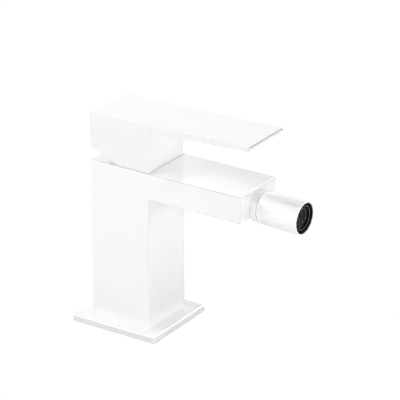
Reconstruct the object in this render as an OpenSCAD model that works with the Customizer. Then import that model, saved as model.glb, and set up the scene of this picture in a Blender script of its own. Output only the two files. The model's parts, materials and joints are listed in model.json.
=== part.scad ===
// Single-lever bidet mixer: square column with a level arm, a paddle lever over a
// ceramic-disc cartridge, and a swivelling outlet on a ball stud at the arm's end.
// Millimetres. The origin is the column's centre on the deck, +Z is up, and -Y is the
// front, where the arm and the lever point.

/* [Column] */
// Width of the column and of the arm
column_w = 40; // [38:0.5:46]
// Depth of the column, front to back
column_d = 43; // [41:0.5:50]
// Height of the body's top face above the deck
body_h = 109; // [104:0.5:130]
// Radius of the body's outer edges
edge_r = 0.8; // [0.4:0.1:1.4]
// Width of the hose recess under the column
recess_w = 31; // [30:0.5:32]
// Depth of the hose recess, front to back
recess_d = 34; // [33:0.5:35]
// Height of the hose recess
recess_h = 40; // [20:1:46]
// Wall of the foot that drops into the base plate
foot_wall = 2.2; // [1.6:0.1:2.6]

/* [Arm] */
// Reach of the arm in front of the column
arm_reach = 66.5; // [50:0.5:90]
// Thickness of the arm
arm_t = 17; // [15:0.5:20]
// Radius of the waterway in the arm
waterway_r = 3.2; // [2.4:0.1:3.6]

/* [Base plate] */
// How far the plate stands out beside the column
plate_side = 8.5; // [5:0.5:14]
// How far the plate stands out in front of and behind the column
plate_front = 9.5; // [5:0.5:14]
// Thickness of the plate
plate_t = 4.6; // [3.4:0.1:7]
// Radius of the plate's corners
plate_corner_r = 1.2; // [0.9:0.1:3]
// Width of the deck seal
seal_w = 2.4; // [1.6:0.1:3]
// Thickness of the deck seal
seal_t = 1.6; // [1:0.1:2]

/* [Connections] */
// Distance of each hose thread from the middle plane
hose_x = 9; // [8.5:0.1:9.4]
// Distance of the hose threads behind the column's centre
hose_y = 8.5; // [8:0.1:9.5]
// Radius of the hose threads
hose_thread_r = 5; // [4.5:0.1:5.2]
// Depth of the hose threads
hose_thread_l = 12; // [8:0.5:14]
// Radius of the inlet ways above the threads
inlet_r = 2.6; // [2.2:0.1:3]
// Radius of the fixing stud's thread
stud_thread_r = 4; // [3:0.1:4.2]
// Depth of the fixing stud's thread
stud_thread_l = 30; // [15:1:36]
// Wall of the pillar around the fixing stud's thread
pillar_wall = 1.5; // [1.2:0.1:1.8]

/* [Cartridge] */
// Outer radius of the cartridge housing
housing_r = 12.4; // [12:0.1:13]
// Wall of the cartridge housing
housing_wall = 1.7; // [1.5:0.1:1.9]
// Thickness of the housing's top lip
lip_t = 1.6; // [1.2:0.1:2]
// Thickness of the ported base
base_t = 5.5; // [4.8:0.1:7]
// Height of the base's flange under the housing
base_flange_t = 3.4; // [3:0.1:3.6]
// Radius of the base's ports
port_r = 2.1; // [1.8:0.1:2.2]
// Thickness of the fixed ceramic disc
fixed_disc_t = 4; // [3:0.1:5]
// Thickness of the moving ceramic disc
moving_disc_t = 3.5; // [2.8:0.1:4.5]
// Radius of the moving ceramic disc
moving_disc_r = 7.8; // [7:0.1:8]
// Width of the disc carrier between the turret's cheeks
carrier_w = 13; // [11:0.1:14]
// Radius of the turret's neck
neck_r = 8.5; // [8.1:0.1:8.8]
// Height of the spindle's pivot above the body's top face
pivot_rise = 4.5; // [4.2:0.1:5.5]
// Length of the spindle from the pivot down to its ball tip
spindle_arm = 10.5; // [9.5:0.1:11.5]
// Radius of the spindle's ball tip
tip_r = 2.5; // [2:0.1:2.8]
// Radius of the spindle's pin
pin_r = 1.5; // [1:0.1:1.8]
// Side of the spindle's square end
square_w = 7; // [6:0.1:8]
// Outer radius of the retaining nut
nut_r = 14; // [13.8:0.1:14.6]
// Length of the retaining nut below the body's top face
nut_depth = 8; // [5:0.5:9]
// Outer radius of the cover ring
cover_r = 15.6; // [15.5:0.1:15.8]

/* [Lever] */
// Width of the lever
lever_w = 38; // [37.6:0.2:44]
// Gap between the lever block and the body's top face
lever_gap = 0.2; // [0.2:0.1:1]
// Height of the lever block at its middle
lever_h = 31; // [28:0.5:40]
// Distance of the block's front face from the lever's axis
block_front = 21.3; // [20.5:0.1:24]
// Distance of the block's back face from the lever's axis
block_back = 22.5; // [21:0.1:25]
// Reach of the paddle's tip from the lever's axis
lever_reach = 93.4; // [70:0.2:120]
// Thickness of the paddle at the block
paddle_root_t = 4.4; // [3:0.1:6]
// Thickness of the paddle at its tip
paddle_tip_t = 2.8; // [2:0.1:4]
// Angle at which the paddle rises towards its tip
paddle_rise = 1.2; // [0:0.1:4]
// Angle of the bevel under the block's back
bevel_angle = 23; // [22.6:0.1:28]
// Distance behind the lever's axis at which the bevel starts
bevel_start = 0.8; // [0:0.1:1]
// Radius of the top edge along the block's back
back_edge_r = 2; // [1:0.1:3]
// Radius of the pocket over the cover ring
pocket_r = 17; // [16.8:0.1:17.2]
// Greatest lift of the lever in degrees
lift_max = 22; // [15:0.5:22]

/* [Outlet] */
// Distance of the outlet's axis below the arm's middle
outlet_drop = 3.4; // [0:0.1:3.6]
// Droop of the outlet at rest in degrees
outlet_droop = 1.5; // [0:0.1:3]
// Greatest angle between the outlet and the stud in degrees
tilt_max = 15; // [8:0.5:15]
// Outer radius of the sleeve
sleeve_r = 10.5; // [10.3:0.1:11.5]
// Distance of the sleeve's front end from the arm
sleeve_end = 32.8; // [32:0.2:45]
// Distance of the ball's centre from the arm
ball_out = 11.2; // [11.2:0.1:12.5]
// Radius of the ball
ball_r = 6.5; // [6.2:0.1:6.6]
// Thickness of the liner around the ball
liner_t = 0.85; // [0.7:0.05:0.9]
// Outer radius of the collar against the arm
collar_r = 9.9; // [9.7:0.1:10.2]
// Length of the collar
collar_l = 4; // [3:0.1:4.2]
// Radius of the stud's neck
stud_neck_r = 3.2; // [3:0.1:3.3]
// Radius of the stud's water bore
stud_bore_r = 2.1; // [1.6:0.1:2.2]
// Radius of the stud's thread in the arm
stud_r = 4; // [3.8:0.1:4.2]
// Length of the stud's thread in the arm
stud_l = 8; // [6:0.5:14]
// Radius of the aerator's visible face
aerator_r = 9.65; // [9.5:0.05:9.8]
// Spacing of the aerator grid's bars
grid_pitch = 1.6; // [1.4:0.1:2.4]

/* [Clearances] */
// Gap around a piece fixed in its seat
seat_gap = 0.05; // [0.02:0.01:0.1]
// Gap around a pin that is held in its hole
press_gap = 0.01; // [0.01:0.01:0.02]
// Gap around a piece that turns or slides in its seat
run_gap = 0.08; // [0.05:0.01:0.1]
// Gap between pieces that pass each other
pass_gap = 0.3; // [0.3:0.05:0.4]

/* [Hidden] */

$fn = 64;
edge_fn = 24;
// overshoot of a cut past the face that it opens
cut = 1;

paint_white = [0.95, 0.95, 0.94];
chrome_grey = [0.75, 0.76, 0.78];
brass_yellow = [0.78, 0.62, 0.32];
steel_grey = [0.55, 0.56, 0.58];
ceramic_cream = [0.93, 0.91, 0.86];
plastic_grey = [0.62, 0.64, 0.66];
plastic_black = [0.05, 0.05, 0.06];
rubber_black = [0.1, 0.1, 0.1];
liner_cream = [0.9, 0.88, 0.8];

// column, foot and arm
foot_w = recess_w + 2 * foot_wall;
foot_d = recess_d + 2 * foot_wall;
arm_bottom = body_h - arm_t;
column_front = -column_d / 2;
arm_front = column_front - arm_reach;
plate_w = column_w + 2 * plate_side;
plate_d = column_d + 2 * plate_front;
// land of the plate between its opening and the seal's groove
seal_land = 2;
pillar_r = stud_thread_r + pillar_wall;

// cartridge, from the pivot down to the floor of its chamber
pivot_z = body_h + pivot_rise;
tip_z = pivot_z - spindle_arm;
carrier_floor_t = 1;
carrier_bottom = tip_z - tip_r - pass_gap - carrier_floor_t;
carrier_top = tip_z + tip_r;
fixed_disc_top = carrier_bottom - moving_disc_t - run_gap;
base_top = fixed_disc_top - fixed_disc_t;
chamber_floor = base_top - base_t;
chamber_r = housing_r + seat_gap;
housing_in_r = housing_r - housing_wall;
turret_r = housing_in_r - run_gap;
turret_slot_top = carrier_top + pass_gap;
turret_flange_t = 2.2;
turret_flange_top = turret_slot_top + turret_flange_t;
turret_wall = 2;
turret_top = pivot_z + pin_r + turret_wall;
housing_top = turret_flange_top + run_gap + lip_t;
nut_bottom = body_h - nut_depth;
nut_lip_t = 2;
nut_top = housing_top + nut_lip_t;
nut_hex_r = nut_r + 0.23;
nut_mouth_r = neck_r + 1.6;
cover_wall = 1.2;
cover_top = nut_top + pass_gap + cover_wall;
cover_mouth_r = neck_r + 0.7;

// ports, as places in plan under the cartridge
inlet_port = [6.6, 3.6];
inlet_disc = [5.2, 3];
outlet_port = [0, -7.2];
outlet_disc = [0, -5.2];
seal_section_r = 0.75;
seal_land_r = 0.1;
seal_ring_r = port_r + seal_section_r + seal_land_r;
seal_seat_r = seal_ring_r + seal_section_r + seat_gap;
peg_r = 1.2;
peg_l = 2;
peg_place = [7.6, -6];

// lift of the spindle, which slides the disc carrier
disc_travel = spindle_arm * lift_max * PI / 180;
carrier_rest_y = disc_travel / 2;
spindle_w = 6;
spindle_d = 5;
spindle_throat_r = tip_r * 0.72;
shank_bottom = tip_z + tip_r + 1.2;
square_rise = 3;
square_l = 13;
square_bottom = turret_top + square_rise;
square_top = square_bottom + square_l;
pin_inset = 1;
pin_l = 2 * (neck_r - pin_inset);
// blind way in the moving disc, which joins the ports under it
mixing_r = moving_disc_r - 2.6;
mixing_h = 1.6;
mixing_y = carrier_rest_y - 1.4;

// lever
lever_bottom = body_h + lever_gap;
lever_mid_top = lever_bottom + lever_h;
pocket_over_square = 6;
boss_over_square = 2;
boss_wall = 4;
pocket_top = square_bottom + pocket_over_square;
boss_bottom = square_bottom + boss_over_square;
boss_r = square_w / 2 + boss_wall;
grub_r = 2.5;
grub_l = 10;
grub_key_r = grub_r * 0.55;
grub_key_l = 2.5;
grub_roof = 1.2;
grub_z = pocket_top + grub_r + grub_roof;
plug_r = 3.4;
plug_t = 3;
plug_stem_r = grub_r - 0.4;
plug_stem_l = 2.5;

// outlet, measured forward from the arm's front face along the stud
outlet_z = arm_bottom + arm_t / 2 - outlet_drop;
socket_r = ball_r + liner_t + 2 * seat_gap;
shoulder_sphere_r = sleeve_r + 1.2;
cup_sphere_r = shoulder_sphere_r + pass_gap;
collar_floor_t = 0.8;
sleeve_in_collar = 0.4;
sleeve_back = collar_l - sleeve_in_collar;
swing = tilt_max + outlet_droop;
throat_back_r = stud_neck_r / cos(swing) + (ball_out - sleeve_back) * tan(swing) + pass_gap;
throat_front_out = ball_out - socket_r * cos(45);
throat_front_r = stud_neck_r / cos(swing) + (ball_out - throat_front_out) * tan(swing) + pass_gap;
stud_flange_r = 4.6;
stud_flange_t = 1.1;
stud_seal_t = 1;
stud_key_r = stud_bore_r * 1.45;
stud_key_out = ball_out + ball_r * 0.55;
liner_half = 4.4;
gland_wall = 0.85;
gland_r = socket_r + gland_wall;
gland_back = ball_out + pass_gap;
gland_front = ball_out + socket_r;
gland_bore_r = 4.6;
gland_slot_w = 1.6;
gland_slot_t = 2.4;
gland_groove_front = gland_front - 3.4;
gland_seal_section_r = 0.6;
gland_groove_w = 2 * gland_seal_section_r + seat_gap;
washer_room = 2;
washer_back = gland_front + washer_room;
washer_t = 1.5;
aerator_step = 0.45;
aerator_bore_r = aerator_r - aerator_step;
aerator_back = washer_back + washer_t;
aerator_flange_t = 1.8;
aerator_inset = 0.4;
aerator_face = sleeve_end - aerator_inset;
aerator_flange_back = aerator_face - aerator_flange_t;
aerator_rim_w = 1.9;
aerator_in_r = aerator_r - aerator_rim_w;
aerator_bevel = 0.7;
grid_t = 3;
grid_bar_w = 0.45;
grid_front = aerator_face - aerator_bevel;
mesh_rim_w = 0.8;
screen_t = 0.6;
screen_inset = 1.2;
screen_back = aerator_back + screen_inset;
screen_pitch = 1.9;
ledge_w = 0.9;
ledge_r = aerator_in_r - ledge_w;

// riser that takes the mixed water from under the cartridge up into the arm
riser_r = 2.4;
riser_wall = 1.8;
channel_r = 2.2;
channel_roof = 4;
waterway_past = 0.2;
riser_y = -(chamber_r + riser_wall + riser_r);
channel_z = chamber_floor - channel_roof - channel_r;

// helpers

// rectangle about the origin with round corners
module round_rect(w, d, r) {
    square([w - 2 * r, d], center = true);
    square([w, d - 2 * r], center = true);
    for (sx = [-1, 1], sy = [-1, 1])
        translate([sx * (w / 2 - r), sy * (d / 2 - r)])
            circle(r, $fn = edge_fn);
}

// block standing on z = 0 about the Z axis, with all of its edges rounded
module soft_block(w, d, h, r, corner_r = 0) {
    plan_r = max(r, corner_r);
    intersection() {
        linear_extrude(h)
            round_rect(w, d, plan_r);
        translate([-w / 2, 0, h / 2])
            rotate([90, 0, 90])
                linear_extrude(w)
                    round_rect(d, h, r);
        translate([0, d / 2, h / 2])
            rotate([90, 0, 0])
                linear_extrude(d)
                    round_rect(w, h, r);
    }
}

// round way from point a to point b, with the cylinder's seam turned to its side
module way(a, b, r) {
    run = b - a;
    length = norm(run);
    lean = acos(run[2] / length);
    heading = atan2(run[1], run[0]);
    translate(a)
        rotate([0, lean, heading])
            rotate(90)
                cylinder(r = r, h = length);
}

module o_ring(ring_r, section_r) {
    rotate_extrude()
        translate([ring_r, 0])
            circle(section_r, $fn = edge_fn);
}

// tube standing on z = 0
module tube(outer, inner, h) {
    difference() {
        cylinder(r = outer, h = h);
        translate([0, 0, -cut])
            cylinder(r = inner, h = h + 2 * cut);
    }
}

// square mesh of bars, clipped to a disc
module bar_disc(r, pitch, bar_w, h) {
    lines = floor((r - bar_w) / pitch);
    intersection() {
        cylinder(r = r, h = h);
        translate([0, 0, h / 2])
            for (i = [-lines : lines]) {
                translate([i * pitch, 0, 0])
                    cube([bar_w, 2 * r + cut, h + cut], center = true);
                translate([0, i * pitch, 0])
                    cube([2 * r + cut, bar_w, h + cut], center = true);
            }
    }
}

// frame of the outlet: its +Z runs forward along the stud from the arm's front face
module along_stud() {
    translate([0, arm_front, outlet_z])
        rotate([90, 0, 0])
            children();
}

// frame of the outlet as it droops about the ball's centre
module along_outlet() {
    along_stud()
        translate([0, 0, ball_out])
            rotate([outlet_droop, 0, 0])
                translate([0, 0, -ball_out])
                    children();
}

// fixed pieces

module body() {
    color(paint_white)
        difference() {
            union() {
                column();
                translate([0, -arm_reach / 2, arm_bottom])
                    soft_block(column_w, column_d + arm_reach, arm_t, edge_r);
                translate([-foot_w / 2, -foot_d / 2, 0])
                    cube([foot_w, foot_d, plate_t + 2 * edge_r]);
            }
            hose_recess();
            cartridge_chamber();
            inlet_ways();
            outlet_ways();
        }
}

// column, cut off flat where it stands on the plate
module column() {
    cut_off = 2 * edge_r;
    block_bottom = plate_t - cut_off;
    block_top = body_h - arm_t / 3;
    difference() {
        translate([0, 0, block_bottom])
            soft_block(column_w, column_d, block_top - block_bottom, edge_r);
        translate([-column_w, -column_d, block_bottom - cut])
            cube([2 * column_w, 2 * column_d, cut_off + cut]);
    }
}

module hose_recess() {
    difference() {
        translate([-recess_w / 2, -recess_d / 2, -cut])
            cube([recess_w, recess_d, recess_h + cut]);
        cylinder(r = pillar_r, h = recess_h + cut);
    }
    translate([0, 0, -cut])
        cylinder(r = stud_thread_r, h = stud_thread_l + cut);
    for (side = [-1, 1])
        translate([side * hose_x, hose_y, recess_h - cut])
            cylinder(r = hose_thread_r, h = hose_thread_l + cut);
}

module cartridge_chamber() {
    translate([0, 0, chamber_floor])
        cylinder(r = chamber_r, h = body_h - chamber_floor + cut);
    translate([0, 0, nut_bottom])
        cylinder(r = nut_r + seat_gap, h = nut_depth + cut);
    for (side = [-1, 1])
        translate([side * peg_place[0], peg_place[1], chamber_floor - peg_l - seat_gap])
            cylinder(r = peg_r + seat_gap, h = peg_l + cut);
}

module inlet_ways() {
    for (side = [-1, 1]) {
        thread_end = [side * hose_x, hose_y, recess_h + hose_thread_l - cut];
        port_mouth = [side * inlet_port[0], inlet_port[1], chamber_floor + cut / 2];
        way(thread_end, port_mouth, inlet_r);
    }
}

// drilled ways: down from the cartridge, forward under it, up beside it and along the arm
module outlet_ways() {
    bore_floor = channel_z - riser_r;
    waterway_back = riser_y + riser_r + waterway_past;
    translate([outlet_port[0], outlet_port[1], bore_floor])
        cylinder(r = riser_r, h = chamber_floor - bore_floor + cut);
    way([0, outlet_port[1], channel_z], [0, riser_y, channel_z], channel_r);
    translate([0, riser_y, bore_floor])
        cylinder(r = riser_r, h = outlet_z - bore_floor);
    way([0, waterway_back, outlet_z], [0, arm_front - cut, outlet_z], waterway_r);
    along_stud()
        translate([0, 0, -stud_l - stud_seal_t])
            cylinder(r = stud_r + seat_gap, h = stud_l + stud_seal_t + cut);
}

module base_plate() {
    color(paint_white)
        difference() {
            soft_block(plate_w, plate_d, plate_t, edge_r, plate_corner_r);
            translate([-foot_w / 2 - seat_gap, -foot_d / 2 - seat_gap, -cut])
                cube([foot_w + 2 * seat_gap, foot_d + 2 * seat_gap, plate_t + 2 * cut]);
            translate([0, 0, -cut])
                linear_extrude(seal_t + cut)
                    seal_outline(seat_gap);
        }
}

// plan of the deck seal, grown by gap on each side
module seal_outline(gap) {
    inner_w = foot_w + 2 * seal_land - 2 * gap;
    inner_d = foot_d + 2 * seal_land - 2 * gap;
    grow = 2 * seal_w + 4 * gap;
    difference() {
        square([inner_w + grow, inner_d + grow], center = true);
        square([inner_w, inner_d], center = true);
    }
}

module base_seal() {
    color(rubber_black)
        linear_extrude(seal_t)
            seal_outline(0);
}

module cartridge_base() {
    color(plastic_grey)
        difference() {
            union() {
                translate([0, 0, chamber_floor])
                    cylinder(r = housing_r, h = base_flange_t);
                translate([0, 0, chamber_floor])
                    cylinder(r = housing_in_r - seat_gap, h = base_t);
                for (side = [-1, 1])
                    translate([side * peg_place[0], peg_place[1], chamber_floor - peg_l])
                        cylinder(r = peg_r, h = peg_l + cut);
            }
            base_port(inlet_port, inlet_disc);
            mirror([1, 0, 0])
                base_port(inlet_port, inlet_disc);
            base_port(outlet_port, outlet_disc);
        }
}

// port that starts under place low and leaves the top at place high, with its seal's seat
module base_port(low, high) {
    translate([low[0], low[1], chamber_floor - cut])
        cylinder(r = port_r, h = base_t - cut);
    translate([high[0], high[1], chamber_floor + base_t / 2])
        cylinder(r = port_r, h = base_t);
    translate([low[0], low[1], chamber_floor - cut])
        cylinder(r = seal_seat_r, h = 2 * seal_section_r + seat_gap + cut);
}

module port_seals() {
    places = [inlet_port, [-inlet_port[0], inlet_port[1]], outlet_port];
    color(rubber_black)
        for (place = places)
            translate([place[0], place[1], chamber_floor + seal_section_r])
                o_ring(seal_ring_r, seal_section_r);
}

module fixed_disc() {
    places = [inlet_disc, [-inlet_disc[0], inlet_disc[1]], outlet_disc];
    color(ceramic_cream)
        difference() {
            translate([0, 0, base_top])
                cylinder(r = housing_in_r - pass_gap, h = fixed_disc_t);
            for (place = places)
                translate([place[0], place[1], base_top - cut])
                    cylinder(r = port_r, h = fixed_disc_t + 2 * cut);
        }
}

module cartridge_housing() {
    skirt_bottom = chamber_floor + base_flange_t;
    color(plastic_grey)
        difference() {
            translate([0, 0, skirt_bottom])
                cylinder(r = housing_r, h = housing_top - skirt_bottom);
            translate([0, 0, skirt_bottom - cut])
                cylinder(r = housing_in_r, h = housing_top - lip_t - skirt_bottom + cut);
            translate([0, 0, skirt_bottom])
                cylinder(r = neck_r + run_gap, h = housing_top - skirt_bottom + cut);
        }
}

// round thread in the body, with a hexagon above it whose points are turned off
module retaining_nut() {
    color(brass_yellow)
        translate([0, 0, nut_bottom])
            difference() {
                union() {
                    cylinder(r = nut_r, h = nut_depth);
                    intersection() {
                        cylinder(r = nut_r, h = nut_top - nut_bottom);
                        cylinder(r = nut_hex_r, h = nut_top - nut_bottom, $fn = 6);
                    }
                }
                translate([0, 0, -cut])
                    cylinder(r = housing_r + seat_gap, h = housing_top - nut_bottom + cut);
                cylinder(r = nut_mouth_r, h = nut_top - nut_bottom + cut);
            }
}

module cover_ring() {
    color(chrome_grey)
        translate([0, 0, body_h])
            rotate_extrude()
                difference() {
                    union() {
                        square([cover_r, cover_top - body_h - cover_wall]);
                        square([cover_r - cover_wall, cover_top - body_h]);
                        translate([cover_r - cover_wall, cover_top - body_h - cover_wall])
                            circle(cover_wall, $fn = edge_fn);
                    }
                    translate([-cut, -cut])
                        square([nut_r + pass_gap + cut, cover_top - body_h - cover_wall + cut]);
                    translate([-cut, 0])
                        square([cover_mouth_r + cut, cover_top]);
                }
}

module outlet_collar() {
    color(paint_white)
        along_stud()
            difference() {
                cylinder(r = collar_r, h = collar_l);
                translate([0, 0, -cut])
                    cylinder(r = stud_r + seat_gap, h = collar_l + 2 * cut);
                intersection() {
                    translate([0, 0, ball_out])
                        sphere(cup_sphere_r);
                    translate([0, 0, collar_floor_t])
                        cylinder(r = collar_r + cut, h = ball_out);
                }
            }
}

module ball_stud() {
    color(chrome_grey)
        along_stud()
            difference() {
                union() {
                    translate([0, 0, -stud_l])
                        cylinder(r = stud_r, h = stud_l + collar_floor_t);
                    translate([0, 0, collar_floor_t])
                        cylinder(r = stud_flange_r, h = stud_flange_t);
                    cylinder(r = stud_neck_r, h = ball_out);
                    translate([0, 0, ball_out])
                        sphere(ball_r);
                }
                translate([0, 0, -stud_l - cut])
                    cylinder(r = stud_bore_r, h = stud_l + ball_out + ball_r + 2 * cut);
                translate([0, 0, stud_key_out])
                    cylinder(r = stud_key_r, h = ball_r, $fn = 6);
            }
}

// washer between the stud's inner end and the floor of its hole
module stud_seal() {
    color(rubber_black)
        along_stud()
            translate([0, 0, -stud_l - stud_seal_t])
                tube(stud_r, stud_bore_r, stud_seal_t);
}

// pieces that turn with the lever

module turret() {
    slot_front = (pivot_z - turret_slot_top) * tan(lift_max) + spindle_d / 2 / cos(lift_max) + pass_gap;
    slot_back = (turret_top - pivot_z) * tan(lift_max) + spindle_d / 2 / cos(lift_max) + pass_gap;
    skirt_bottom = carrier_bottom + pass_gap;
    color(plastic_grey)
        difference() {
            union() {
                translate([0, 0, skirt_bottom])
                    cylinder(r = turret_r, h = turret_flange_top - skirt_bottom);
                translate([0, 0, skirt_bottom])
                    cylinder(r = neck_r, h = turret_top - skirt_bottom);
            }
            translate([-carrier_w / 2 - run_gap, -turret_r - cut, skirt_bottom - cut])
                cube([carrier_w + 2 * run_gap, 2 * (turret_r + cut), turret_slot_top - skirt_bottom + cut]);
            translate([-spindle_w / 2 - run_gap, -slot_front, skirt_bottom])
                cube([spindle_w + 2 * run_gap, slot_front + slot_back, turret_top - skirt_bottom + cut]);
            translate([-neck_r - cut, 0, pivot_z])
                rotate([0, 90, 0])
                    cylinder(r = pin_r + seat_gap, h = 2 * (neck_r + cut));
        }
}

// pieces that slide on the fixed disc

module disc_carrier() {
    color(plastic_grey)
        difference() {
            intersection() {
                translate([0, carrier_rest_y, carrier_bottom])
                    cylinder(r = moving_disc_r, h = carrier_top - carrier_bottom);
                translate([-carrier_w / 2, carrier_rest_y - moving_disc_r, carrier_bottom])
                    cube([carrier_w, 2 * moving_disc_r, carrier_top - carrier_bottom]);
            }
            translate([0, 0, carrier_bottom + carrier_floor_t])
                cylinder(r = tip_r + pass_gap, h = carrier_top);
        }
}

module moving_disc() {
    color(ceramic_cream)
        difference() {
            translate([0, carrier_rest_y, carrier_bottom - moving_disc_t])
                cylinder(r = moving_disc_r, h = moving_disc_t);
            translate([0, mixing_y, carrier_bottom - moving_disc_t - cut])
                cylinder(r = mixing_r, h = mixing_h + cut);
        }
}

// pieces that lift with the lever

// side view of the lever, with y forward as the first coordinate
module lever_profile() {
    rise = tan(paddle_rise);
    tip_top = lever_mid_top + lever_reach * rise;
    root_top = lever_mid_top + block_front * rise;
    back_top = lever_mid_top - block_back * rise;
    bevel_top = lever_bottom + (block_back - bevel_start) * tan(bevel_angle);
    nose_r = paddle_tip_t / 4;
    difference() {
        polygon([
            [-bevel_start, lever_bottom],
            [block_front, lever_bottom],
            [block_front, root_top - paddle_root_t],
            [lever_reach - nose_r, tip_top - paddle_tip_t],
            [lever_reach, tip_top - paddle_tip_t + nose_r],
            [lever_reach, tip_top - nose_r],
            [lever_reach - nose_r, tip_top],
            [-block_back, back_top],
            [-block_back, bevel_top]
        ]);
        back_edge_cutter(back_top);
    }
}

// what the rounding takes off the block's top back edge
module back_edge_cutter(back_top) {
    difference() {
        translate([-block_back - cut, back_top - back_edge_r])
            square([back_edge_r + cut, back_edge_r + cut]);
        translate([-block_back + back_edge_r, back_top - back_edge_r])
            circle(back_edge_r);
    }
}

module lever() {
    length = block_back + lever_reach;
    color(paint_white)
        difference() {
            intersection() {
                translate([lever_w / 2, 0, 0])
                    rotate([90, 0, -90])
                        linear_extrude(lever_w)
                            lever_profile();
                translate([0, (block_back - lever_reach) / 2, lever_bottom - cut])
                    linear_extrude(2 * lever_h)
                        round_rect(lever_w, length, edge_r);
            }
            difference() {
                translate([0, 0, lever_bottom - cut])
                    cylinder(r = pocket_r, h = pocket_top - lever_bottom + cut);
                translate([0, 0, boss_bottom])
                    cylinder(r = boss_r, h = lever_h);
            }
            spindle_socket();
            translate([0, 0, grub_z])
                rotate([-90, 0, 0])
                    cylinder(r = grub_r + seat_gap, h = block_back + cut);
            translate([0, block_back - plug_t, grub_z])
                rotate([-90, 0, 0])
                    cylinder(r = plug_r + seat_gap, h = plug_t + cut);
        }
}

module spindle_socket() {
    side = square_w + 2 * seat_gap;
    translate([-side / 2, -side / 2, boss_bottom - cut])
        cube([side, side, square_top + seat_gap - boss_bottom + cut]);
}

module grub_screw() {
    color(steel_grey)
        translate([0, square_w / 2, grub_z])
            rotate([-90, 0, 0])
                difference() {
                    cylinder(r = grub_r, h = grub_l);
                    translate([0, 0, grub_l - grub_key_l])
                        cylinder(r = grub_key_r, h = grub_key_l + cut, $fn = 6);
                }
}

module index_plug() {
    color(plastic_grey)
        translate([0, block_back - plug_t, grub_z])
            rotate([-90, 0, 0]) {
                cylinder(r = plug_r, h = plug_t);
                translate([0, 0, -plug_stem_l])
                    cylinder(r = plug_stem_r, h = plug_stem_l + cut);
            }
}

module spindle() {
    color(steel_grey)
        difference() {
            union() {
                translate([0, 0, tip_z])
                    sphere(tip_r);
                translate([0, 0, tip_z])
                    cylinder(r = spindle_throat_r, h = shank_bottom - tip_z + cut);
                translate([-spindle_w / 2, -spindle_d / 2, shank_bottom])
                    cube([spindle_w, spindle_d, square_bottom - shank_bottom + cut]);
                translate([-square_w / 2, -square_w / 2, square_bottom])
                    cube([square_w, square_w, square_top - square_bottom]);
            }
            translate([-spindle_w, 0, pivot_z])
                rotate([0, 90, 0])
                    cylinder(r = pin_r + press_gap, h = 2 * spindle_w);
        }
}

module spindle_pin() {
    color(steel_grey)
        translate([-pin_l / 2, 0, pivot_z])
            rotate([0, 90, 0])
                cylinder(r = pin_r, h = pin_l);
}

// piece that turns on the ball

module ball_liner() {
    color(liner_cream)
        along_stud()
            translate([0, 0, ball_out])
                intersection() {
                    difference() {
                        sphere(ball_r + seat_gap + liner_t);
                        sphere(ball_r + seat_gap);
                    }
                    translate([0, 0, -liner_half])
                        cylinder(r = 2 * ball_r, h = 2 * liner_half);
                }
}

// pieces that tilt on the ball

module outlet_sleeve() {
    front_rim = sleeve_end - aerator_face + aerator_flange_t;
    color(paint_white)
        along_outlet()
            difference() {
                intersection() {
                    translate([0, 0, sleeve_back])
                        cylinder(r = sleeve_r, h = sleeve_end - sleeve_back);
                    union() {
                        translate([0, 0, ball_out])
                            sphere(shoulder_sphere_r);
                        translate([0, 0, ball_out])
                            cylinder(r = sleeve_r + cut, h = sleeve_end);
                    }
                }
                translate([0, 0, sleeve_back - cut])
                    throat();
                translate([0, 0, ball_out])
                    sphere(socket_r);
                translate([0, 0, ball_out])
                    cylinder(r = gland_r + seat_gap, h = sleeve_end);
                translate([0, 0, washer_back])
                    cylinder(r = aerator_bore_r + seat_gap, h = sleeve_end);
                translate([0, 0, sleeve_end - front_rim])
                    cylinder(r = aerator_r + seat_gap, h = front_rim + cut);
            }
}

// tapered opening at the sleeve's back, which lets the stud's neck swing
module throat() {
    slope = (throat_back_r - throat_front_r) / (throat_front_out - sleeve_back);
    length = ball_out - sleeve_back;
    cylinder(r1 = throat_back_r + slope * cut, r2 = throat_back_r - slope * length, h = length + cut);
}

module ball_retainer() {
    color(brass_yellow)
        along_outlet()
            difference() {
                translate([0, 0, gland_back])
                    cylinder(r = gland_r, h = gland_front - gland_back);
                translate([0, 0, ball_out])
                    sphere(socket_r);
                translate([0, 0, gland_back])
                    cylinder(r = gland_bore_r, h = gland_front);
                translate([0, 0, gland_front])
                    cube([2 * gland_r + cut, gland_slot_w, 2 * gland_slot_t], center = true);
                translate([0, 0, gland_groove_front - gland_groove_w])
                    tube(gland_r + cut, gland_r - gland_groove_w + seat_gap, gland_groove_w);
            }
}

module retainer_seal() {
    color(rubber_black)
        along_outlet()
            translate([0, 0, gland_groove_front - gland_groove_w / 2])
                o_ring(gland_r + seat_gap - gland_seal_section_r, gland_seal_section_r);
}

module aerator_washer() {
    color(rubber_black)
        along_outlet()
            translate([0, 0, washer_back])
                tube(aerator_bore_r, ledge_r, washer_t);
}

module aerator_housing() {
    color(plastic_black)
        along_outlet()
            difference() {
                union() {
                    translate([0, 0, aerator_back])
                        cylinder(r = aerator_bore_r, h = aerator_face - aerator_back);
                    translate([0, 0, aerator_flange_back])
                        cylinder(r = aerator_r, h = aerator_flange_t);
                }
                translate([0, 0, aerator_back - cut])
                    cylinder(r = ledge_r, h = aerator_face);
                translate([0, 0, aerator_back - cut])
                    cylinder(r = aerator_in_r, h = screen_back + screen_t - aerator_back + cut);
                translate([0, 0, grid_front - grid_t])
                    cylinder(r = aerator_in_r, h = sleeve_end);
                translate([0, 0, grid_front])
                    cylinder(r1 = aerator_in_r, r2 = aerator_in_r + aerator_bevel, h = aerator_bevel);
            }
}

module aerator_screen() {
    color(steel_grey)
        along_outlet()
            translate([0, 0, screen_back]) {
                bar_disc(aerator_in_r - seat_gap, screen_pitch, grid_bar_w, screen_t);
                tube(aerator_in_r - seat_gap, aerator_in_r - mesh_rim_w, screen_t);
            }
}

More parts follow.
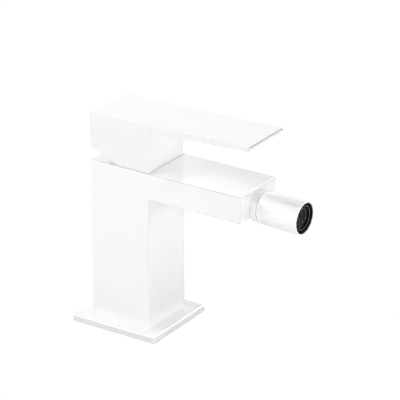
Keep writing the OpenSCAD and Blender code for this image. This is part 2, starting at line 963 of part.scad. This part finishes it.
module aerator_grid() {
    color(plastic_black)
        along_outlet()
            translate([0, 0, grid_front - grid_t]) {
                bar_disc(aerator_in_r - seat_gap, grid_pitch, grid_bar_w, grid_t);
                tube(aerator_in_r - seat_gap, aerator_in_r - mesh_rim_w, grid_t);
            }
}

body();
base_plate();
base_seal();
cartridge_base();
port_seals();
fixed_disc();
cartridge_housing();
retaining_nut();
cover_ring();
outlet_collar();
ball_stud();
stud_seal();
turret();
disc_carrier();
moving_disc();
lever();
grub_screw();
index_plug();
spindle();
spindle_pin();
ball_liner();
outlet_sleeve();
ball_retainer();
retainer_seal();
aerator_washer();
aerator_screen();
aerator_housing();
aerator_grid();
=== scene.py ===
# Dressed scene of a square single-lever bidet mixer in gloss white on a white studio floor.
# All lengths are in metres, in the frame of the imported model: +Z is up and -Y is the front.
# Outlines of pieces are written in millimetres and turned into metres by MM.
import json
import math

import bmesh
import bpy
from mathutils import Matrix, Vector


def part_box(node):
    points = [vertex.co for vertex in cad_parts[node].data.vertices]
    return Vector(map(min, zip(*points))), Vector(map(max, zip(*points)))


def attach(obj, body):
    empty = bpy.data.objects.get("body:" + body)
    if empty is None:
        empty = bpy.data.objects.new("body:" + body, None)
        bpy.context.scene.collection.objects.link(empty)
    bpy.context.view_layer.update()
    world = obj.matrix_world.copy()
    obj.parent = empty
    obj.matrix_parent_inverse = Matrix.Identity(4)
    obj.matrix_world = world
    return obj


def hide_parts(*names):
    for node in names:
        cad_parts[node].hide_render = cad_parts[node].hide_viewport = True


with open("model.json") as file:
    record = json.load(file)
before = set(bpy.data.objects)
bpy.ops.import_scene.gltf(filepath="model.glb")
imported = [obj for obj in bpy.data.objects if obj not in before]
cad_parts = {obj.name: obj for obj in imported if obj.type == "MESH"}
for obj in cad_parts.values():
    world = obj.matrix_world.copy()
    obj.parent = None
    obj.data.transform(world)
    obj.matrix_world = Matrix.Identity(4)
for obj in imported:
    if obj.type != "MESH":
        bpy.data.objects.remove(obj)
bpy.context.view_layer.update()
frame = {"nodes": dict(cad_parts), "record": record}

nodes = frame["nodes"]
MM = 0.001
MICRON = 0.000001

# Part of a noise's range that is spread over a colour or a roughness
NOISE_LOW = 0.3
NOISE_HIGH = 0.7


# Materials

def material(name, roughness, metallic=0.0, specular=0.5):
    """A node material with its Principled shader and object coordinates ready for texture nodes."""
    mat = bpy.data.materials.new(name)
    mat.use_nodes = True
    tree = mat.node_tree
    shader = tree.nodes["Principled BSDF"]
    shader.inputs["Roughness"].default_value = roughness
    shader.inputs["Metallic"].default_value = metallic
    shader.inputs["Specular IOR Level"].default_value = specular
    coords = tree.nodes.new("ShaderNodeTexCoord")
    return mat, tree, shader, coords.outputs["Object"]


def math_node(tree, operation, *values):
    """Output of a math node; each of its one or two values is a socket or a number."""
    node = tree.nodes.new("ShaderNodeMath")
    node.operation = operation
    for socket, value in zip(node.inputs, values):
        if isinstance(value, float):
            socket.default_value = value
        else:
            tree.links.new(value, socket)
    return node.outputs[0]


def greatest(tree, first, *others):
    """The greatest of several values, each one a socket or a number."""
    result = first
    for other in others:
        result = math_node(tree, "MAXIMUM", result, other)
    return result


def spread_over(tree, factor, start, end, start_value, end_value, smooth=False):
    """Value that runs from start_value to end_value as factor goes from start to end."""
    spread = tree.nodes.new("ShaderNodeMapRange")
    if smooth:
        spread.interpolation_type = "SMOOTHSTEP"
    spread.inputs["From Min"].default_value = start
    spread.inputs["From Max"].default_value = end
    spread.inputs["To Min"].default_value = start_value
    spread.inputs["To Max"].default_value = end_value
    tree.links.new(factor, spread.inputs["Value"])
    return spread.outputs["Result"]


def noise(tree, coords, scale, detail=3.0):
    """Noise whose scale is in cycles per metre."""
    node = tree.nodes.new("ShaderNodeTexNoise")
    node.inputs["Scale"].default_value = scale
    node.inputs["Detail"].default_value = detail
    tree.links.new(coords, node.inputs["Vector"])
    return node.outputs["Fac"]


def mixed_colour(tree, shader, factor, low, high):
    """Base colour that runs from low to high over the middle of a noise's range."""
    ramp = tree.nodes.new("ShaderNodeValToRGB")
    start, end = ramp.color_ramp.elements
    start.position = NOISE_LOW
    start.color = (*low, 1.0)
    end.position = NOISE_HIGH
    end.color = (*high, 1.0)
    tree.links.new(factor, ramp.inputs["Fac"])
    tree.links.new(ramp.outputs["Color"], shader.inputs["Base Color"])


def mixed_roughness(tree, shader, factor, low, high):
    """Roughness that runs from low to high over the middle of a noise's range."""
    roughness = spread_over(tree, factor, NOISE_LOW, NOISE_HIGH, low, high)
    tree.links.new(roughness, shader.inputs["Roughness"])


def bump(tree, shader, height, depth):
    """Surface relief of the given depth in metres."""
    node = tree.nodes.new("ShaderNodeBump")
    node.inputs["Distance"].default_value = depth
    tree.links.new(height, node.inputs["Height"])
    tree.links.new(node.outputs["Normal"], shader.inputs["Normal"])


def facing(tree):
    """How squarely the surface faces along X, Y and Z of the object, each from 0 to 1."""
    coords = tree.nodes.new("ShaderNodeTexCoord")
    absolute = tree.nodes.new("ShaderNodeVectorMath")
    absolute.operation = "ABSOLUTE"
    tree.links.new(coords.outputs["Normal"], absolute.inputs[0])
    parts = tree.nodes.new("ShaderNodeSeparateXYZ")
    tree.links.new(absolute.outputs[0], parts.inputs[0])
    return parts.outputs["X"], parts.outputs["Y"], parts.outputs["Z"]


def toned(tree, shader, factor, start, end, start_tone, end_tone):
    """Scales the base colour from start_tone to end_tone as factor goes from start to end."""
    tone = spread_over(tree, factor, start, end, start_tone, end_tone, smooth=True)
    scaled = tree.nodes.new("ShaderNodeVectorMath")
    scaled.operation = "SCALE"
    link = shader.inputs["Base Color"].links[0]
    tree.links.new(link.from_socket, scaled.inputs[0])
    tree.links.new(tone, scaled.inputs["Scale"])
    tree.links.new(scaled.outputs[0], shader.inputs["Base Color"])


def painted_edge_shade(tree, shader, tone):
    """Darkens the rounded edges with painted shade, the upright ones less than the level ones.

    A surface counts as flat, and keeps its full tone, where it faces squarely along an axis. Faces
    towards X count as flat a little sooner, and upright rounded edges count as nearly flat.
    """
    x_gain = 1.25
    upright_share = 0.96
    rounded_below = 0.92
    flat_above = 0.99
    x, y, z = facing(tree)
    off_level = math_node(tree, "SUBTRACT", 1.0, math_node(tree, "MULTIPLY", z, z))
    upright = math_node(tree, "MULTIPLY", math_node(tree, "SQRT", off_level), upright_share)
    flatness = greatest(tree, math_node(tree, "MULTIPLY", x, x_gain), upright, y, z)
    toned(tree, shader, flatness, rounded_below, flat_above, tone, 1.0)


def gloss_coat(name, low, high, edge_shade_tone=1.0, side_shade_tone=1.0, coat_ior=2.2):
    """White gloss under a hard clear coat, with faint unevenness in tone and ripple.

    Below 1, the edge tone is how much of the colour is left on rounded edges, and the side tone how
    much is left on the sides that face along X; both darkenings are painted shade.
    """
    side_from = 0.8
    mat, tree, shader, coords = material(name, roughness=0.12)
    shader.inputs["Coat Weight"].default_value = 1.0
    shader.inputs["Coat IOR"].default_value = coat_ior
    shader.inputs["Coat Roughness"].default_value = 0.02
    mixed_colour(tree, shader, noise(tree, coords, scale=22.0), low, high)
    mixed_roughness(tree, shader, noise(tree, coords, scale=160.0), low=0.08, high=0.16)
    bump(tree, shader, noise(tree, coords, scale=420.0, detail=2.0), depth=2 * MICRON)
    # Painted shade along the rounded edges
    if edge_shade_tone < 1.0:
        painted_edge_shade(tree, shader, edge_shade_tone)
    # Painted shade on the sides that face along X
    if side_shade_tone < 1.0:
        x = facing(tree)[0]
        toned(tree, shader, x, side_from, 1.0, 1.0, side_shade_tone)
    return mat


def polished_metal(name, low, high, roughness):
    """Plated or turned metal with faint haze."""
    mat, tree, shader, coords = material(name, roughness, metallic=1.0)
    haze = noise(tree, coords, scale=500.0)
    mixed_colour(tree, shader, noise(tree, coords, scale=90.0), low, high)
    mixed_roughness(tree, shader, haze, low=roughness * 0.7, high=roughness * 1.4)
    bump(tree, shader, noise(tree, coords, scale=2500.0), depth=2 * MICRON)
    return mat


def moulded(name, low, high, roughness, grain, depth, specular=0.5):
    """Plastic, rubber or ceramic with a fine grain of the given cycles per metre and depth."""
    mat, tree, shader, coords = material(name, roughness, specular=specular)
    haze = noise(tree, coords, scale=grain * 0.3)
    mixed_colour(tree, shader, noise(tree, coords, scale=120.0), low, high)
    mixed_roughness(tree, shader, haze, low=roughness * 0.8, high=roughness * 1.2)
    bump(tree, shader, noise(tree, coords, scale=grain), depth)
    return mat


# Darkest and lightest tone of each white
BODY_TONES = ((0.862, 0.862, 0.855), (0.885, 0.885, 0.880))
LEVER_TONES = ((0.852, 0.852, 0.845), (0.873, 0.873, 0.868))
# Painted light: the outlet's white is a lighter copy of the body's paint, making up for less light
# on the sleeve and collar
OUTLET_LIT_TONES = ((0.945, 0.945, 0.940), (0.960, 0.960, 0.955))

finishes = {
    "white_finish": gloss_coat("white_gloss", *BODY_TONES, edge_shade_tone=0.6),
    "chrome": polished_metal(
        "chrome_plate", (0.70, 0.71, 0.72), (0.78, 0.79, 0.80), roughness=0.06),
    "brass": polished_metal(
        "turned_brass", (0.68, 0.50, 0.22), (0.80, 0.62, 0.30), roughness=0.25),
    "steel": polished_metal(
        "stainless_steel", (0.50, 0.50, 0.50), (0.62, 0.62, 0.61), roughness=0.28),
    "ceramic": moulded(
        "lapped_ceramic", (0.80, 0.77, 0.70), (0.86, 0.84, 0.78),
        roughness=0.15, grain=900.0, depth=MICRON),
    "grey_plastic": moulded(
        "grey_plastic", (0.36, 0.38, 0.40), (0.42, 0.44, 0.46),
        roughness=0.45, grain=2500.0, depth=10 * MICRON),
    "black_plastic": moulded(
        "gloss_black_plastic", (0.002, 0.002, 0.002), (0.004, 0.004, 0.004),
        roughness=0.12, grain=1500.0, depth=2 * MICRON, specular=0.015),
    "liner_plastic": moulded(
        "cream_plastic", (0.72, 0.68, 0.58), (0.78, 0.75, 0.66),
        roughness=0.4, grain=2500.0, depth=5 * MICRON),
    "rubber": moulded(
        "moulded_rubber", (0.010, 0.010, 0.010), (0.018, 0.018, 0.018),
        roughness=0.6, grain=3000.0, depth=10 * MICRON),
}
lever_white = gloss_coat("lever_gloss", *LEVER_TONES, edge_shade_tone=0.55, side_shade_tone=0.97)
plate_white = gloss_coat("plate_gloss", *BODY_TONES, edge_shade_tone=0.9, side_shade_tone=0.88)
outlet_lit_white = gloss_coat("outlet_lit_gloss", *OUTLET_LIT_TONES)
collar_lit_white = gloss_coat("collar_lit_gloss", *OUTLET_LIT_TONES, coat_ior=1.4)
mesh_wire = polished_metal("mesh_wire", (0.38, 0.38, 0.39), (0.50, 0.50, 0.51), roughness=0.35)
charcoal = moulded(
    "charcoal_plastic", (0.14, 0.14, 0.145), (0.20, 0.20, 0.205),
    roughness=0.3, grain=2500.0, depth=5 * MICRON)

record = frame["record"]
slot_of = {part["node"]: part["material_slot"] for part in record["subparts"]}
body_of = {name: body for body, names in record["behaviour"]["bodies"].items() for name in names}
for node_name, node_object in nodes.items():
    finish = plate_white if node_name == "base_plate" else finishes[slot_of[node_name]]
    for index in range(len(node_object.data.materials)):
        node_object.data.materials[index] = finish


# Pieces that stand for CAD nodes

SMOOTH_BELOW = 35.0


def stand_for(piece, node_name, finish=None):
    """Puts the piece in its node's place, on its body and with its finish."""
    bpy.context.scene.collection.objects.link(piece)
    piece.data.materials.clear()
    piece.data.materials.append(finish or finishes[slot_of[node_name]])
    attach(piece, body_of[node_name])
    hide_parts(node_name)


def shade(mesh, angle):
    """Smooth shading, kept sharp where faces meet at more than the angle in degrees."""
    for polygon in mesh.polygons:
        polygon.use_smooth = True
    mesh.set_sharp_from_angle(angle=math.radians(angle))


def join_rings(bm, first, second):
    """Faces between two closed rings of as many vertices."""
    for index in range(len(first)):
        after = (index + 1) % len(first)
        bm.faces.new((first[index], first[after], second[after], second[index]))


def placed_mesh(bm, name, place):
    """Mesh of what was built in bm, moved to its place."""
    bmesh.ops.recalc_face_normals(bm, faces=bm.faces)
    bm.transform(place)
    mesh = bpy.data.meshes.new(name)
    bm.to_mesh(mesh)
    bm.free()
    return mesh


def lathed(name, outline, place, segments=128):
    """Closed outline of (radius, height) points in millimetres, turned about the local Z axis."""
    bm = bmesh.new()
    rings = []
    for step in range(segments):
        turn = 2 * math.pi * step / segments
        rings.append([bm.verts.new((r * MM * math.cos(turn), r * MM * math.sin(turn), z * MM))
                      for r, z in outline])
    for step in range(segments):
        join_rings(bm, rings[step], rings[(step + 1) % segments])
    mesh = placed_mesh(bm, name, place)
    shade(mesh, SMOOTH_BELOW)
    return bpy.data.objects.new(name, mesh)


def arc(centre_r, centre_z, radius, start, end, steps=6):
    """Points of an arc in the (radius, height) plane, from start to end in degrees."""
    points = []
    for step in range(steps + 1):
        angle = math.radians(start + (end - start) * step / steps)
        points.append((centre_r + radius * math.cos(angle), centre_z + radius * math.sin(angle)))
    return points


def outer_lip(edge_r, front_z, radius, steps=6):
    """Rounded edge from an outer wall to the front."""
    return arc(edge_r - radius, front_z - radius, radius, 0, 90, steps)


def inner_lip(edge_r, front_z, radius, steps=6):
    """Rounded edge from the front to an inner wall."""
    return arc(edge_r + radius, front_z - radius, radius, 90, 180, steps)


# Outlet: its own +Z runs forward along the stud from the arm's front face
ARM_FRONT = -88.0
OUTLET_Z = 97.1
BALL_OUT = 11.2
DROOP = 1.5
arm_end = Matrix.Translation((0.0, ARM_FRONT * MM, OUTLET_Z * MM))
along_stud = arm_end @ Matrix.Rotation(math.radians(90), 4, "X")
to_ball = Matrix.Translation((0.0, 0.0, BALL_OUT * MM))
drooped = Matrix.Rotation(math.radians(DROOP), 4, "X")
along_outlet = along_stud @ to_ball @ drooped @ to_ball.inverted()

# Sleeve
SLEEVE_R = 10.5
SLEEVE_BACK = 3.6
SLEEVE_END = 32.8
SHOULDER_R = 11.7
SHOULDER_BLEND = ((10.38, 6.1), (10.46, 6.45))
STRAIGHT_FROM = 6.95
SOCKET_R = 7.45
THROAT_R = 5.2
THROAT_FRONT = 5.93
THROAT_BACK_R = 5.89
FLANGE_BORE_R = 9.7
FLANGE_SEAT = 30.6
THREAD_BORE_R = 9.25
THREAD_SEAT = 20.65
RETAINER_BORE_R = 8.35

# Distances from the outlet's axis at which the round outlines have their points
SHOULDER_STEPS = (8.9, 9.2, 9.5, 9.8, 10.05, 10.25)
SOCKET_STEPS = (7.449, 7.3, 7.0, 6.5, 6.0, 5.4)
CUP_STEPS = (5.99, 7.0, 8.0, 8.8, 9.25)

# Collar
COLLAR_R = 9.9
COLLAR_FRONT = 4.0
COLLAR_BORE_R = 4.05
COLLAR_FLOOR = 0.8
COLLAR_GAP = 0.05

# Aerator
AERATOR_FACE = 32.4
AERATOR_BACK = 22.15
AERATOR_R = 9.65
AERATOR_THREAD_R = 9.2
AERATOR_IN_R = 7.75
LEDGE_R = 6.85
LEDGE_FRONT = 28.7
LEDGE_BACK = 26.0
GRID_FRONT = 31.7
GRID_BACK = 28.75
GRID_R = 7.7
RIM_IN_R = 7.3
RIM_THICK = 0.3
MESH_R = 6.55
BARS_SUNK = 0.8
BARS_FRONT = GRID_FRONT - BARS_SUNK
BARS_THICK = 0.3


def on_sphere(radius, distance):
    """Point at this distance from the outlet's axis on the back half of a sphere about the ball."""
    return (distance, BALL_OUT - math.sqrt(radius ** 2 - distance ** 2))


def make_sleeve():
    """Sleeve of the outlet, with its round shoulder, the ball's socket and the aerator's seat."""
    chamfer = 0.1
    shoulder = [on_sphere(SHOULDER_R, r) for r in SHOULDER_STEPS]
    shoulder += [*SHOULDER_BLEND, (SLEEVE_R, STRAIGHT_FROM)]
    lip = outer_lip(SLEEVE_R, SLEEVE_END, radius=0.35)
    lip += [(FLANGE_BORE_R + chamfer, SLEEVE_END), (FLANGE_BORE_R, SLEEVE_END - chamfer)]
    bore = [
        (FLANGE_BORE_R, FLANGE_SEAT),
        (THREAD_BORE_R, FLANGE_SEAT),
        (THREAD_BORE_R, THREAD_SEAT),
        (RETAINER_BORE_R, THREAD_SEAT),
        (RETAINER_BORE_R, BALL_OUT),
    ]
    socket = [on_sphere(SOCKET_R, r) for r in SOCKET_STEPS]
    throat = [(THROAT_R, THROAT_FRONT), (THROAT_BACK_R, SLEEVE_BACK)]
    return lathed("sleeve", shoulder + lip + bore + socket + throat, along_outlet)


def make_collar():
    """Collar between the arm and the sleeve, hollowed to clear the sleeve's shoulder."""
    rim_radius = 0.15
    chamfer = 0.1
    rim = arc(COLLAR_R - rim_radius, COLLAR_FRONT - rim_radius, rim_radius, 90, 0, steps=3)
    foot = [
        (COLLAR_R, chamfer),
        (COLLAR_R - chamfer, 0.0),
        (COLLAR_BORE_R, 0.0),
        (COLLAR_BORE_R, COLLAR_FLOOR),
    ]
    cup = [on_sphere(SHOULDER_R + COLLAR_GAP, r) for r in CUP_STEPS]
    return lathed("collar", rim + foot + cup, along_stud)


def make_aerator_ring():
    """Face ring of the aerator, with a fine groove round its face and a rounded mouth."""
    groove_r = 8.86
    groove_half = 0.14
    groove_depth = 0.22
    groove = [
        (groove_r + groove_half, AERATOR_FACE),
        (groove_r, AERATOR_FACE - groove_depth),
        (groove_r - groove_half, AERATOR_FACE),
    ]
    inside = [
        (AERATOR_IN_R, LEDGE_FRONT),
        (LEDGE_R, LEDGE_FRONT),
        (LEDGE_R, LEDGE_BACK),
        (AERATOR_IN_R, LEDGE_BACK),
        (AERATOR_IN_R, AERATOR_BACK),
    ]
    outside = [
        (AERATOR_THREAD_R, AERATOR_BACK),
        (AERATOR_THREAD_R, FLANGE_SEAT),
        (AERATOR_R, FLANGE_SEAT),
    ]
    lip = outer_lip(AERATOR_R, AERATOR_FACE, radius=0.3, steps=5)
    mouth = inner_lip(AERATOR_IN_R, AERATOR_FACE, radius=0.6)
    return lathed("aerator_ring", lip + groove + mouth + inside + outside, along_outlet)


def bar(bm, start, end, width, low, high):
    """Bar with chamfered front edges, from start to end in plan, between two heights."""
    chamfer = 0.1
    run = Vector((end[0] - start[0], end[1] - start[1]))
    side = Vector((-run.y, run.x)).normalized()
    section = [
        (-width / 2, low),
        (width / 2, low),
        (width / 2, high - chamfer),
        (width / 2 - chamfer, high),
        (chamfer - width / 2, high),
        (-width / 2, high - chamfer),
    ]
    ends = []
    for x, y in (start, end):
        ends.append([bm.verts.new(((x + side.x * u) * MM, (y + side.y * u) * MM, z * MM))
                     for u, z in section])
    join_rings(bm, *ends)
    for cap in ends:
        bm.faces.new(cap)


def make_grille():
    """Front grid of the aerator: two crossing sets of bars."""
    pitch = 1.6
    width = 0.45
    lines_each_side = 4
    back = BARS_FRONT - BARS_THICK
    bm = bmesh.new()
    for line in range(-lines_each_side, lines_each_side + 1):
        offset = line * pitch
        half = math.sqrt(MESH_R ** 2 - offset ** 2)
        bar(bm, (offset, -half), (offset, half), width, back, BARS_FRONT)
        bar(bm, (-half, offset), (half, offset), width, back, BARS_FRONT)
    return bpy.data.objects.new("grille", placed_mesh(bm, "grille", along_outlet))


def make_grille_rim():
    """Thin ring round the front of the grid."""
    back = GRID_FRONT - RIM_THICK
    front = outer_lip(GRID_R, GRID_FRONT, radius=0.2, steps=4)
    front += inner_lip(RIM_IN_R, GRID_FRONT, radius=0.15, steps=4)
    return lathed("grille_rim", front + [(RIM_IN_R, back), (GRID_R, back)], along_outlet)


def make_grille_frame():
    """Sunk ring between the grid's bars and its rim."""
    chamfer = 0.1
    outer = [
        (GRID_R, GRID_BACK),
        (GRID_R, GRID_FRONT - RIM_THICK),
        (RIM_IN_R, GRID_FRONT - RIM_THICK),
        (RIM_IN_R - chamfer, BARS_FRONT + chamfer),
    ]
    inner = [(MESH_R + chamfer, BARS_FRONT + chamfer), (MESH_R, BARS_FRONT), (MESH_R, GRID_BACK)]
    return lathed("grille_frame", outer + inner, along_outlet)


def woven_wire(bm, offset, along_x, phase, pitch, wire, height):
    """One wire of radius wire, which swings up and down once over every two pitches."""
    swing = 0.9
    sides = 6
    half = math.sqrt(MESH_R ** 2 - offset ** 2)
    steps = max(2, int(2 * half / (pitch / 2)))
    rings = []
    for step in range(steps + 1):
        t = -half + 2 * half * step / steps
        z = height + wire * swing * math.cos(math.pi * (t / pitch + phase))
        ring = []
        for corner in range(sides):
            turn = 2 * math.pi * corner / sides
            u = offset + wire * math.cos(turn)
            x, y = (t, u) if along_x else (u, t)
            ring.append(bm.verts.new((x * MM, y * MM, (z + wire * math.sin(turn)) * MM)))
        rings.append(ring)
    for first, second in zip(rings, rings[1:]):
        join_rings(bm, first, second)


def make_wire_mesh():
    """Woven wires behind the grid, each one passing over and under those that cross it."""
    pitch = 0.62
    wire = 0.14
    behind_bars = 0.65
    height = BARS_FRONT - behind_bars
    lines_each_side = int(MESH_R / pitch)
    bm = bmesh.new()
    for line in range(-lines_each_side, lines_each_side + 1):
        woven_wire(bm, line * pitch, True, line % 2, pitch, wire, height)
        woven_wire(bm, line * pitch, False, line % 2 + 1, pitch, wire, height)
    mesh = placed_mesh(bm, "wire_mesh", along_outlet)
    shade(mesh, angle=70.0)
    return bpy.data.objects.new("wire_mesh", mesh)


stand_for(make_sleeve(), "outlet_sleeve", outlet_lit_white)
stand_for(make_collar(), "outlet_collar", collar_lit_white)
stand_for(make_aerator_ring(), "aerator_housing")
stand_for(make_grille(), "aerator_grid")
stand_for(make_grille_rim(), "aerator_grid", charcoal)
stand_for(make_grille_frame(), "aerator_grid")
stand_for(make_wire_mesh(), "aerator_grid", mesh_wire)


# Lever with softened edges, its inner forms located in millimetres
EDGE_RADIUS = 0.55
POCKET_TOP = 127.0
POCKET_R = 17.3
UNDERSIDE_TOP = 110.0
UNDERSIDE_FRONT = -25.0
PLUG_Z = 129.7
PLUG_R = 4.0


def softened(name, node_name, radius, wanted):
    """Copy of a node's form with the wanted sharp edges rounded.

    The function wanted is asked about both ends of an edge, in millimetres.
    """
    flat_below = 0.5
    sharp_above = 25
    bm = bmesh.new()
    bm.from_mesh(nodes[node_name].data)
    bmesh.ops.remove_doubles(bm, verts=bm.verts, dist=2 * MICRON)
    bmesh.ops.dissolve_limit(
        bm, angle_limit=math.radians(flat_below), verts=bm.verts, edges=bm.edges)
    edges = []
    for edge in bm.edges:
        if len(edge.link_faces) == 2 and edge.calc_face_angle() > math.radians(sharp_above):
            if all(wanted(vertex.co / MM) for vertex in edge.verts):
                edges.append(edge)
    bmesh.ops.bevel(bm, geom=edges, offset=radius, offset_type="OFFSET", segments=4, profile=0.5,
                    affect="EDGES", clamp_overlap=True)
    mesh = bpy.data.meshes.new(name)
    bm.to_mesh(mesh)
    bm.free()
    shade(mesh, SMOOTH_BELOW)
    piece = bpy.data.objects.new(name, mesh)
    weighted = piece.modifiers.new("weighted", "WEIGHTED_NORMAL")
    weighted.keep_sharp = True
    return piece


def on_lever_outside(point):
    """True on the lever's outer form, away from its underside, its pocket and the plug's hole."""
    in_pocket = point.z < POCKET_TOP and math.hypot(point.x, point.y) < POCKET_R
    on_underside = point.z < UNDERSIDE_TOP and point.y > UNDERSIDE_FRONT
    at_plug = math.hypot(point.x, point.z - PLUG_Z) <= PLUG_R and point.y >= 0.0
    return not (in_pocket or on_underside or at_plug)


stand_for(softened("lever_body", "lever", EDGE_RADIUS * MM, on_lever_outside), "lever", lever_white)


# Floor and world, white to the camera and in reflections

FLOOR_WHITE = 1.035


def background_rays(tree):
    """Two outputs: 1 on camera rays, and 1 on the rays of reflections and glass.

    Both are 0 on the rays that light the object.
    """
    path = tree.nodes.new("ShaderNodeLightPath")
    mirrored = greatest(tree, path.outputs["Is Glossy Ray"], path.outputs["Is Transmission Ray"])
    return path.outputs["Is Camera Ray"], mirrored


def near_plate(tree, position, reach):
    """1 under the base plate, falling away outside it over about the reach in metres."""
    place = tree.nodes.new("ShaderNodeSeparateXYZ")
    tree.links.new(position, place.inputs[0])
    low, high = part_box("base_plate")
    from_middle_x = math_node(tree, "ABSOLUTE", place.outputs["X"])
    from_middle_y = math_node(tree, "ABSOLUTE", place.outputs["Y"])
    beside = math_node(tree, "SUBTRACT", from_middle_x, high[0])
    before = math_node(tree, "SUBTRACT", from_middle_y, -low[1])
    gap = greatest(tree, beside, before, 0.0)
    return math_node(tree, "POWER", math.exp(-1.0), math_node(tree, "DIVIDE", gap, reach))


def make_floor(half_size, seen_share, mirrored_share, contact_shade, contact_reach):
    """White floor that keeps its shadow; each share is how much plain white covers the shade.

    In reflections the white is darker by contact_shade at the base plate, over about contact_reach.
    """
    mesh = bpy.data.meshes.new("floor")
    corners = [(-1, -1), (1, -1), (1, 1), (-1, 1)]
    mesh.from_pydata([(x * half_size, y * half_size, 0.0) for x, y in corners], [], [(0, 1, 2, 3)])
    floor = bpy.data.objects.new("floor", mesh)
    bpy.context.scene.collection.objects.link(floor)
    mat = bpy.data.materials.new("floor_white")
    mat.use_nodes = True
    tree = mat.node_tree
    tree.nodes.clear()
    position = tree.nodes.new("ShaderNodeTexCoord").outputs["Object"]

    base = tree.nodes.new("ShaderNodeBsdfDiffuse")
    ramp = tree.nodes.new("ShaderNodeValToRGB")
    ramp.color_ramp.elements[0].color = (0.87, 0.87, 0.87, 1.0)
    ramp.color_ramp.elements[1].color = (0.89, 0.89, 0.89, 1.0)
    tree.links.new(noise(tree, position, scale=4.0), ramp.inputs["Fac"])
    tree.links.new(ramp.outputs["Color"], base.inputs["Color"])

    glow = tree.nodes.new("ShaderNodeEmission")
    shaded = near_plate(tree, position, contact_reach)
    camera, mirrored = background_rays(tree)
    mirrored_shade = math_node(tree, "MULTIPLY", shaded, mirrored)
    contact = math_node(tree, "MULTIPLY", mirrored_shade, contact_shade * FLOOR_WHITE)
    tree.links.new(math_node(tree, "SUBTRACT", FLOOR_WHITE, contact), glow.inputs["Strength"])

    seen = math_node(tree, "MULTIPLY", camera, seen_share)
    reflected = math_node(tree, "MULTIPLY", mirrored, mirrored_share)
    mix = tree.nodes.new("ShaderNodeMixShader")
    tree.links.new(math_node(tree, "ADD", seen, reflected), mix.inputs["Fac"])
    tree.links.new(base.outputs[0], mix.inputs[1])
    tree.links.new(glow.outputs[0], mix.inputs[2])
    out = tree.nodes.new("ShaderNodeOutputMaterial")
    tree.links.new(mix.outputs[0], out.inputs["Surface"])
    mesh.materials.append(mat)


def make_world(ambient, dark_towards, dark_inner, dark_outer, dark_level):
    """White surroundings with one dark part of the ceiling, which only reflections show.

    The part is dark up to dark_inner degrees from its middle, and fades out at dark_outer.
    """
    world = bpy.data.worlds.new("studio")
    bpy.context.scene.world = world
    world.use_nodes = True
    tree = world.node_tree
    backdrop = tree.nodes["Background"]
    backdrop.inputs["Color"].default_value = (1.0, 1.0, 1.0, 1.0)
    coords = tree.nodes.new("ShaderNodeTexCoord")
    near = tree.nodes.new("ShaderNodeVectorMath")
    near.operation = "DOT_PRODUCT"
    near.inputs[1].default_value = Vector(dark_towards).normalized()
    tree.links.new(coords.outputs["Generated"], near.inputs[0])
    outer = math.cos(math.radians(dark_outer))
    inner = math.cos(math.radians(dark_inner))
    ceiling = spread_over(tree, near.outputs["Value"], outer, inner, 1.0, dark_level, smooth=True)
    camera, mirrored = background_rays(tree)
    reflected = math_node(tree, "MULTIPLY", mirrored, ceiling)
    tree.links.new(greatest(tree, camera, reflected, ambient), backdrop.inputs["Strength"])


make_floor(
    half_size=6.0,
    seen_share=0.93,
    mirrored_share=0.9,
    contact_shade=0.55,
    contact_reach=0.024,
)
make_world(
    ambient=0.02,
    dark_towards=(0.1, 0.5, 0.86),
    dark_inner=9.0,
    dark_outer=13.0,
    dark_level=0.02,
)


# Studio lamps, all aimed at the middle of the mixer
aim = Vector((0.0, -0.04, 0.07))


def towards(azimuth, elevation):
    """Direction from the object; azimuth 0 is its front and -90 its left side."""
    a = math.radians(azimuth)
    e = math.radians(elevation)
    return Vector((math.sin(a) * math.cos(e), -math.cos(a) * math.cos(e), math.sin(e)))


def add_lamp(name, azimuth, elevation, distance, size, power):
    """Square lamp; size is its side in metres and power its watts."""
    data = bpy.data.lights.new(name, "AREA")
    data.shape = "SQUARE"
    data.size = size
    data.energy = power
    lamp = bpy.data.objects.new(name, data)
    bpy.context.scene.collection.objects.link(lamp)
    direction = towards(azimuth, elevation)
    lamp.location = aim + distance * direction
    lamp.rotation_euler = direction.to_track_quat("Z", "Y").to_euler()


add_lamp("back_box", azimuth=-150, elevation=35, distance=1.3, size=0.5, power=8.8)
add_lamp("back_key", azimuth=-172, elevation=40, distance=1.3, size=0.12, power=2.6)
add_lamp("camera_box", azimuth=-57, elevation=24, distance=1.5, size=0.5, power=7.7)
add_lamp("side_low", azimuth=-105, elevation=5, distance=1.3, size=0.4, power=2.6)
add_lamp("front_low", azimuth=0, elevation=3, distance=1.3, size=0.4, power=7.6)
add_lamp("front_right", azimuth=45, elevation=25, distance=1.3, size=0.6, power=0.6)
add_lamp("right_box", azimuth=80, elevation=30, distance=1.3, size=0.5, power=4.6)
add_lamp("right_back", azimuth=123, elevation=23, distance=1.0, size=0.6, power=0.4)
add_lamp("top", azimuth=0, elevation=88, distance=1.3, size=0.6, power=1.3)
add_lamp("top_front", azimuth=0, elevation=65, distance=1.3, size=0.5, power=1.0)


# Camera, at the photo's angle and distance

def make_camera(target, azimuth, elevation, distance, lens, sensor_width):
    """Camera aimed at the target; lens and sensor width are in millimetres."""
    back = towards(azimuth, elevation)
    data = bpy.data.cameras.new("camera")
    data.lens = lens
    data.sensor_width = sensor_width
    camera = bpy.data.objects.new("camera", data)
    bpy.context.scene.collection.objects.link(camera)
    camera.location = target + distance * back
    camera.rotation_euler = (-back).to_track_quat("-Z", "Y").to_euler()
    bpy.context.scene.camera = camera


make_camera(
    target=Vector((0.0, -0.0460813, 0.0907583)),
    azimuth=-56.6655,
    elevation=23.4571,
    distance=1.65976,
    lens=245.0,
    sensor_width=36.0,
)
bpy.context.scene.view_settings.view_transform = "Standard"
